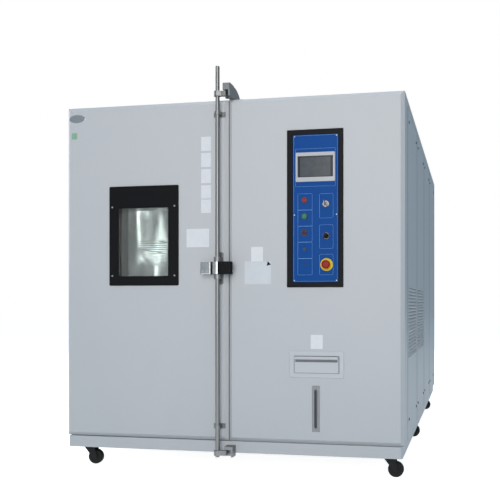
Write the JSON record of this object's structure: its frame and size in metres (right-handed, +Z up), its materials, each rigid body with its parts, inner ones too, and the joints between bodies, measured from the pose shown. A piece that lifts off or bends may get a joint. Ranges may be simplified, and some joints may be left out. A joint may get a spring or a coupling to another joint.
{
  "type": "environmental test chamber",
  "caption": "Floor-standing temperature and humidity test chamber with a windowed insulated door, full-height lock rod, side machine compartment and casters.",
  "frame": {"origin": "on the floor, under the middle of the bounding box", "axes": "+Z up, -Y towards the person at the door, +X to that person's right"},
  "size_m": [1.726, 2.62, 1.95],
  "materials": {
    "painted": "satin",
    "painted_dark": "satin",
    "stainless": "brushed",
    "chrome": "polished",
    "zinc_steel": "satin",
    "foam": "matte",
    "silicone": "matte",
    "black_plastic": "satin",
    "tyre": "matte",
    "glass": "clear",
    "aluminium": "satin",
    "blue_plate": "satin",
    "screen_plastic": "satin",
    "lens": "gloss",
    "yellow_plastic": "gloss",
    "red_plastic": "gloss"
  },
  "bodies": {
    "cabinet": {"air_treatment": "stainless", "base_frame": "painted", "cable_port": "stainless", "caster_plates": "painted_dark", "chamber_insulation": "foam", "chamber_liner": "stainless", "chamber_skin": "painted", "circulation_motor": "painted_dark", "control_bezel": "painted_dark", "control_plate": "blue_plate", "door_seal": "silicone", "drawer_frame": "painted", "electrical_box": "painted", "hinge_body_leaves": "chrome", "humidifier": "stainless", "lamp_lenses": "lens", "level_gauge": "stainless", "lock_keepers": "zinc_steel", "louvred_side_panels": "painted", "machine_frame": "painted", "machine_front": "painted", "machine_rear_panel": "painted", "machine_roof": "painted", "motor_bay_cover": "painted", "plain_side_panels": "painted", "refrigeration_unit": "painted_dark", "shelf_rack": "stainless", "side_panel_screws": "black_plastic", "stop_button_ring": "yellow_plastic", "switch_collars": "chrome", "touch_screen": "screen_plastic"},
    "door": {"door_skin": "painted", "door_foam": "foam", "door_inner_plate": "stainless", "window_bezel": "painted_dark", "window_panes": "glass", "hinge_door_leaves": "chrome", "rod_guides": "zinc_steel", "lock_case": "chrome"},
    "lock": {"lock_rod": "chrome", "lock_claws_and_hub": "zinc_steel", "lever_grip": "black_plastic"},
    "water_drawer": {"water_drawer": "painted"},
    "stop_button": {"stop_button": "red_plastic"},
    "key_switch": {"key_switch": "chrome"},
    "selector": {"selector_knob": "black_plastic"},
    "circulation_fan": {"circulation_fan": "stainless"},
    "condenser_fan": {"condenser_fan": "aluminium"},
    "swivel_1": {"caster_fork_1": "painted_dark"},
    "wheel_1": {"caster_wheel_1": "tyre"},
    "swivel_2": {"caster_fork_2": "painted_dark"},
    "wheel_2": {"caster_wheel_2": "tyre"},
    "swivel_3": {"caster_fork_3": "painted_dark"},
    "wheel_3": {"caster_wheel_3": "tyre"},
    "swivel_4": {"caster_fork_4": "painted_dark"},
    "wheel_4": {"caster_wheel_4": "tyre"},
    "swivel_5": {"caster_fork_5": "painted_dark"},
    "wheel_5": {"caster_wheel_5": "tyre"},
    "swivel_6": {"caster_fork_6": "painted_dark"},
    "wheel_6": {"caster_wheel_6": "tyre"}
  },
  "joints": [
    {"name": "door_swing", "type": "hinge", "parent": "cabinet", "child": "door", "pos_m": [-0.854, -1.149, 0.9], "axis": [0, 0, -1], "range_deg": [0, 110]},
    {"name": "lock_turn", "type": "hinge", "parent": "door", "child": "lock", "pos_m": [-0.031, -1.282, 0.9], "axis": [0, 0, -1], "range_deg": [0, 90]},
    {"name": "water_drawer_slide", "type": "slide", "parent": "cabinet", "child": "water_drawer", "axis": [0, -1, 0], "range_m": [0, 0.22]},
    {"name": "stop_button_press", "type": "slide", "parent": "cabinet", "child": "stop_button", "axis": [0, 1, 0], "range_m": [0, 0.006], "stiffness_N_per_m": 800},
    {"name": "key_turn", "type": "hinge", "parent": "cabinet", "child": "key_switch", "pos_m": [0.492, -1.252, 1.284], "axis": [0, 1, 0], "range_deg": [0, 90]},
    {"name": "selector_turn", "type": "hinge", "parent": "cabinet", "child": "selector", "pos_m": [0.494, -1.252, 1.134], "axis": [0, 1, 0], "range_deg": [0, 90]},
    {"name": "circulation_fan_spin", "type": "hinge", "parent": "cabinet", "child": "circulation_fan", "pos_m": [-0.41575, 0.688, 1.37], "axis": [0, 1, 0], "continuous": true},
    {"name": "condenser_fan_spin", "type": "hinge", "parent": "cabinet", "child": "condenser_fan", "pos_m": [0.43575, 1.17, 1.335], "axis": [0, 1, 0], "continuous": true},
    {"name": "caster_swivel_1", "type": "hinge", "parent": "cabinet", "child": "swivel_1", "pos_m": [-0.76, -1.167, 0.095], "axis": [0, 0, 1], "continuous": true},
    {"name": "wheel_spin_1", "type": "hinge", "parent": "swivel_1", "child": "wheel_1", "pos_m": [-0.72808, -1.16477, 0.0375], "axis": [-0.0698, 0.9976, 0], "continuous": true},
    {"name": "caster_swivel_2", "type": "hinge", "parent": "cabinet", "child": "swivel_2", "pos_m": [0.78, -1.167, 0.095], "axis": [0, 0, 1], "continuous": true},
    {"name": "wheel_spin_2", "type": "hinge", "parent": "swivel_2", "child": "wheel_2", "pos_m": [0.81192, -1.16923, 0.0375], "axis": [0.0698, 0.9976, 0], "continuous": true},
    {"name": "caster_swivel_3", "type": "hinge", "parent": "cabinet", "child": "swivel_3", "pos_m": [-0.76, -0.162, 0.095], "axis": [0, 0, 1], "continuous": true},
    {"name": "wheel_spin_3", "type": "hinge", "parent": "swivel_3", "child": "wheel_3", "pos_m": [-0.72824, -0.1581, 0.0375], "axis": [-0.1219, 0.9925, 0], "continuous": true},
    {"name": "caster_swivel_4", "type": "hinge", "parent": "cabinet", "child": "swivel_4", "pos_m": [0.78, -0.162, 0.095], "axis": [0, 0, 1], "continuous": true},
    {"name": "wheel_spin_4", "type": "hinge", "parent": "swivel_4", "child": "wheel_4", "pos_m": [0.81183, -0.16534, 0.0375], "axis": [0.1045, 0.9945, 0], "continuous": true},
    {"name": "caster_swivel_5", "type": "hinge", "parent": "cabinet", "child": "swivel_5", "pos_m": [-0.76, 0.938, 0.095], "axis": [0, 0, 1], "continuous": true},
    {"name": "wheel_spin_5", "type": "hinge", "parent": "swivel_5", "child": "wheel_5", "pos_m": [-0.72804, 0.93968, 0.0375], "axis": [-0.0523, 0.9986, 0], "continuous": true},
    {"name": "caster_swivel_6", "type": "hinge", "parent": "cabinet", "child": "swivel_6", "pos_m": [0.78, 0.938, 0.095], "axis": [0, 0, 1], "continuous": true},
    {"name": "wheel_spin_6", "type": "hinge", "parent": "swivel_6", "child": "wheel_6", "pos_m": [0.81161, 0.94301, 0.0375], "axis": [-0.1564, 0.9877, 0], "continuous": true}
  ]
}
